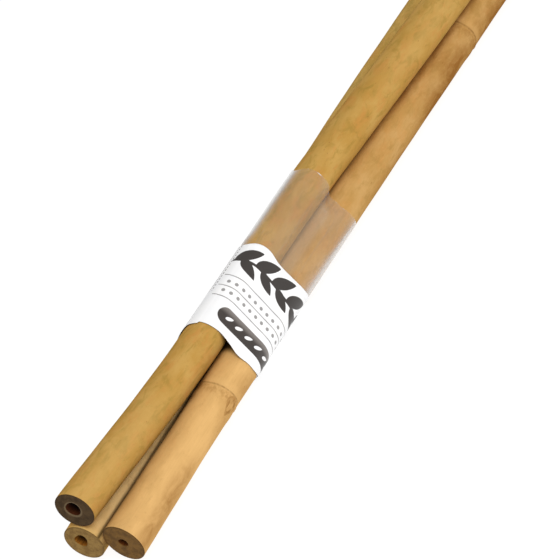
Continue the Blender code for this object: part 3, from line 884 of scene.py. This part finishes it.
def make_camera():
    """The photograph's camera: it looks along the canes from beyond their near ends, rolled to one side."""
    forward = np.array([
        np.cos(ELEVATION) * np.cos(AZIMUTH), np.cos(ELEVATION) * np.sin(AZIMUTH), -np.sin(ELEVATION),
    ])
    level = np.cross(forward, (0, 0, 1))
    level /= np.linalg.norm(level)
    upright = np.cross(level, forward)
    right = np.cos(ROLL) * level + np.sin(ROLL) * upright
    up = -np.sin(ROLL) * level + np.cos(ROLL) * upright
    slide_right = (PIXELS / 2 - AIM_PIXEL[0]) / PIXELS_PER_METRE
    slide_up = (AIM_PIXEL[1] - PIXELS / 2) / PIXELS_PER_METRE
    place = AIM + origin - AIM_DISTANCE * forward + slide_right * right + slide_up * up
    camera = bpy.data.objects.new("camera", bpy.data.cameras.new("camera"))
    axes = np.column_stack([right, up, -forward])
    camera.matrix_world = Matrix.Translation(place) @ Matrix(axes.tolist()).to_4x4()
    camera.data.sensor_width = SENSOR_WIDTH
    camera.data.lens = PIXELS_PER_METRE * AIM_DISTANCE * SENSOR_WIDTH / PIXELS
    camera.data.clip_start = 0.05
    camera.data.clip_end = 60
    bpy.context.collection.objects.link(camera)
    bpy.context.scene.camera = camera


# Streaks along each cane: middle and half width of the turn, in degrees, start and end, in mm, and strength.
# The dark streaks are painted shade. Brown and pale streaks are the wood's own colour, save those marked as
# painted.
STREAKS = {
    "cane_front": {
        # Brown: the wood's own colour, and painted shade beside the crack under the top cane at 66 to 108
        # degrees.
        "brown": (
            (195, 36, 55, 115, 0.3), (215, 24, 190, 420, 0.5), (66, 16, 60, 110, 0.7),
            (98, 12, 185, 380, 0.3), (176, 25, -20, 55, 0.6), (160, 50, 255, 295, 0.4),
            (108, 13, 235, 420, 0.5), (196, 40, 235, 420, 0.55), (60, 40, -20, 1300, 0.2),
        ),
        "olive": ((320, 40, -20, 1300, 0.5),),
        "pale": ((165, 95, -60, 125, 0.95), (20, 60, -60, 110, 0.6)),
        # Painted shade in the crack where the front cane meets the back one.
        "dark": ((44, 15, -20, 75, 0.9), (45, 12, 50, 110, 0.8)),
    },
    "cane_back": {
        "brown": ((250, 50, 100, 1300, 0.4),),
        "olive": ((90, 30, 60, 1300, 0.3),),
        # Pale: painted light in the groove at the near end.
        "pale": ((140, 60, -14, 120, 0.9),),
        # Painted shade in the crack by the front cane, and on the wall beside the near end.
        "dark": (
            (158.5, 5, -30, 35, 1.0), (161, 5, 10, 70, 1.0), (163, 5, 45, 110, 1.0), (192, 28, -30, 30, 0.7),
        ),
    },
    "cane_top": {
        "brown": (
            (50, 18, 190, 420, 0.2), (62, 20, 2, 34, 0.1), (196, 16, 45, 105, 0.2), (270, 60, -20, 1300, 0.4),
        ),
        "olive": (
            (215, 26, -20, 180, 0.45), (215, 26, 180, 1300, 0.1), (95, 14, 190, 330, 0.25),
            (93, 12, 140, 205, 0.5),
        ),
        "pale": ((135, 34, -20, 70, 0.3), (145, 24, 230, 400, 0.25)),
        # Painted shade on the underside by the crack, at the near end.
        "dark": ((228, 14, -30, 95, 0.5),),
    },
}

# Colours of each cane's skin, of its sawn ends and of its hollows' mouths, and how strong its marks are.
TONES = {
    "cane_front": SimpleNamespace(
        light=colour(204, 161, 100), deep=colour(192, 148, 84), brown=colour(150, 102, 48),
        olive=colour(168, 130, 68), pale=colour(228, 182, 117), amber=colour(204, 148, 84),
        mottle=0.45, dusk=0.35, line=0.55, specks=0.25,
        cut_light=colour(121, 87, 38), cut_deep=colour(96, 67, 28),
        ring=colour(122, 88, 40), ring_share=0.2, mouth=colour(118, 62, 20),
    ),
    "cane_back": SimpleNamespace(
        light=colour(208, 168, 94), deep=colour(196, 152, 76), brown=colour(120, 80, 38),
        # Its pale is also laid on as painted light in the groove at the near end.
        olive=colour(158, 134, 68), pale=colour(255, 216, 148), amber=colour(206, 150, 84),
        mottle=0.5, dusk=0.15, line=0.2, specks=0.3,
        cut_light=colour(150, 118, 64), cut_deep=colour(124, 94, 47),
        ring=colour(152, 120, 66), ring_share=0.2, mouth=colour(176, 112, 34),
    ),
    "cane_top": SimpleNamespace(
        light=colour(198, 157, 86), deep=colour(187, 143, 70), brown=colour(152, 106, 58),
        olive=colour(158, 128, 58), pale=colour(212, 174, 108), amber=colour(198, 140, 72),
        mottle=0.6, dusk=0.3, line=0.45, specks=0.45,
        cut_light=colour(80, 60, 34), cut_deep=colour(60, 43, 20),
        ring=colour(120, 101, 74), ring_share=0.7, mouth=colour(82, 38, 12),
    ),
}


def start_of_frame(cad_node, stations):
    """Where the bundle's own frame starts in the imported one: the belt's lowest corner goes to the node's."""
    outline = belt(stations, 40, 10)[0]
    lowest = outline.reshape(-1, 2).min(0)
    return np.array(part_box(cad_node)[0]) - (SLEEVE_START, lowest[0] - LIFT, lowest[1] - LIFT)


origin = start_of_frame("label_band", np.linspace(SLEEVE_START, LABEL_END, 5))

for name, cane, line in (
    ("cane_front", FRONT, front_line), ("cane_back", BACK, back_line), ("cane_top", TOP, top_line),
):
    tones = TONES[name]
    skin = bamboo_wall(name + "_skin", tones)
    hollow = hollow_wall(name + "_hollow", tones)
    sawn = end_grain(name + "_end", tones)
    grown = make_cane(name + "_grown", cane, line, STREAKS[name], [skin, hollow, sawn])
    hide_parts(name)

film_share = np.sin(np.linspace(0, np.pi / 2, 90))  # its rings lie closer together towards the far edge
film_stations = SLEEVE_START + FILM_TUCK + (SLEEVE_END - SLEEVE_START - FILM_TUCK) * film_share
film = sleeve_piece(
    "film_sheet", film_stations, FILM_POINTS,
    SimpleNamespace(edges=film_edges, out=film_out, wall=film_wall), clear_film(), (("sheet", film_pattern),),
)
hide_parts("film_sleeve")
label = sleeve_piece(
    "label_sheet", np.linspace(SLEEVE_START, LABEL_END, 110), LABEL_POINTS,
    SimpleNamespace(edges=label_edges, out=label_out, wall=label_wall), label_paper(),
    (("print", label_print), ("ground", label_ground)),
)
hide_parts("label_band")

make_floor()
make_light()
make_camera()
bpy.context.scene.view_settings.view_transform = "Standard"
